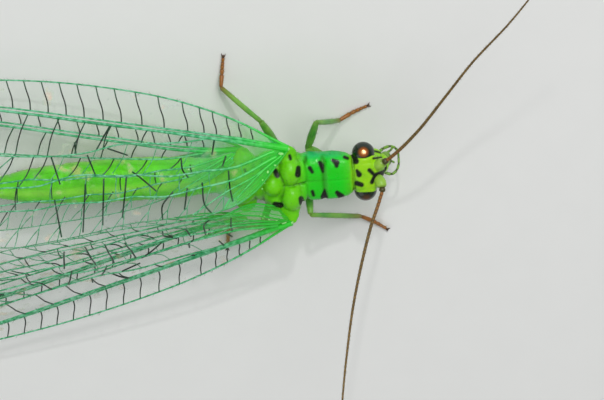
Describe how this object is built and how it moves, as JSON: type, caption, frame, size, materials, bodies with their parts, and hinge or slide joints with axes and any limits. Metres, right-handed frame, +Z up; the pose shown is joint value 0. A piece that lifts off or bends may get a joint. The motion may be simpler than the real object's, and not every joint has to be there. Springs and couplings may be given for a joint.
{
  "type": "green lacewing",
  "caption": "Green lacewing at rest: slender green body, roofed clear netted wings, dark eyes, thin legs and long feelers.",
  "frame": {"origin": "on the floor below the middle of the whole animal, wings and feelers counted", "axes": "+X towards the head along the body, +Y to the animal's left, +Z up"},
  "size_m": [0.023, 0.0156, 0.0071],
  "materials": {
    "vivid_green": "satin, soft skin of the pronotum",
    "yellow_green": "satin, soft skin with small black spots",
    "eye": "glossy dark green with a copper sheen",
    "antenna": "matt brown, finely ringed",
    "palp": "satin, ringed with black",
    "leg": "satin, finely haired",
    "tarsus": "satin orange brown",
    "wing": "clear iridescent membrane between green and black veins"
  },
  "bodies": {
    "root": {"head": "yellow_green", "eye_left": "eye", "palp_left": "palp", "antenna_left_scape": "yellow_green", "antenna_left_flagellum_1": "antenna", "antenna_left_flagellum_2": "antenna", "antenna_left_flagellum_3": "antenna", "eye_right": "eye", "palp_right": "palp", "antenna_right_scape": "yellow_green", "antenna_right_flagellum_1": "antenna", "antenna_right_flagellum_2": "antenna", "antenna_right_flagellum_3": "antenna", "mouthparts": "palp", "prothorax": "vivid_green", "mesothorax": "yellow_green", "metathorax": "yellow_green", "abdomen": "yellow_green", "abdomen_tip": "yellow_green", "fore_leg_left_coxa": "leg", "fore_leg_left_femur": "leg", "fore_leg_left_tibia": "leg", "fore_leg_left_tarsus": "tarsus", "fore_leg_right_coxa": "leg", "fore_leg_right_femur": "leg", "fore_leg_right_tibia": "leg", "fore_leg_right_tarsus": "tarsus", "mid_leg_left_coxa": "leg", "mid_leg_left_femur": "leg", "mid_leg_left_tibia": "leg", "mid_leg_left_tarsus": "tarsus", "mid_leg_right_coxa": "leg", "mid_leg_right_femur": "leg", "mid_leg_right_tibia": "leg", "mid_leg_right_tarsus": "tarsus", "hind_leg_left_coxa": "leg", "hind_leg_left_femur": "leg", "hind_leg_left_tibia": "leg", "hind_leg_left_tarsus": "tarsus", "hind_leg_right_coxa": "leg", "hind_leg_right_femur": "leg", "hind_leg_right_tibia": "leg", "hind_leg_right_tarsus": "tarsus", "forewing_left": "wing", "hindwing_left": "wing", "forewing_right": "wing", "hindwing_right": "wing"}
  },
  "joints": []
}
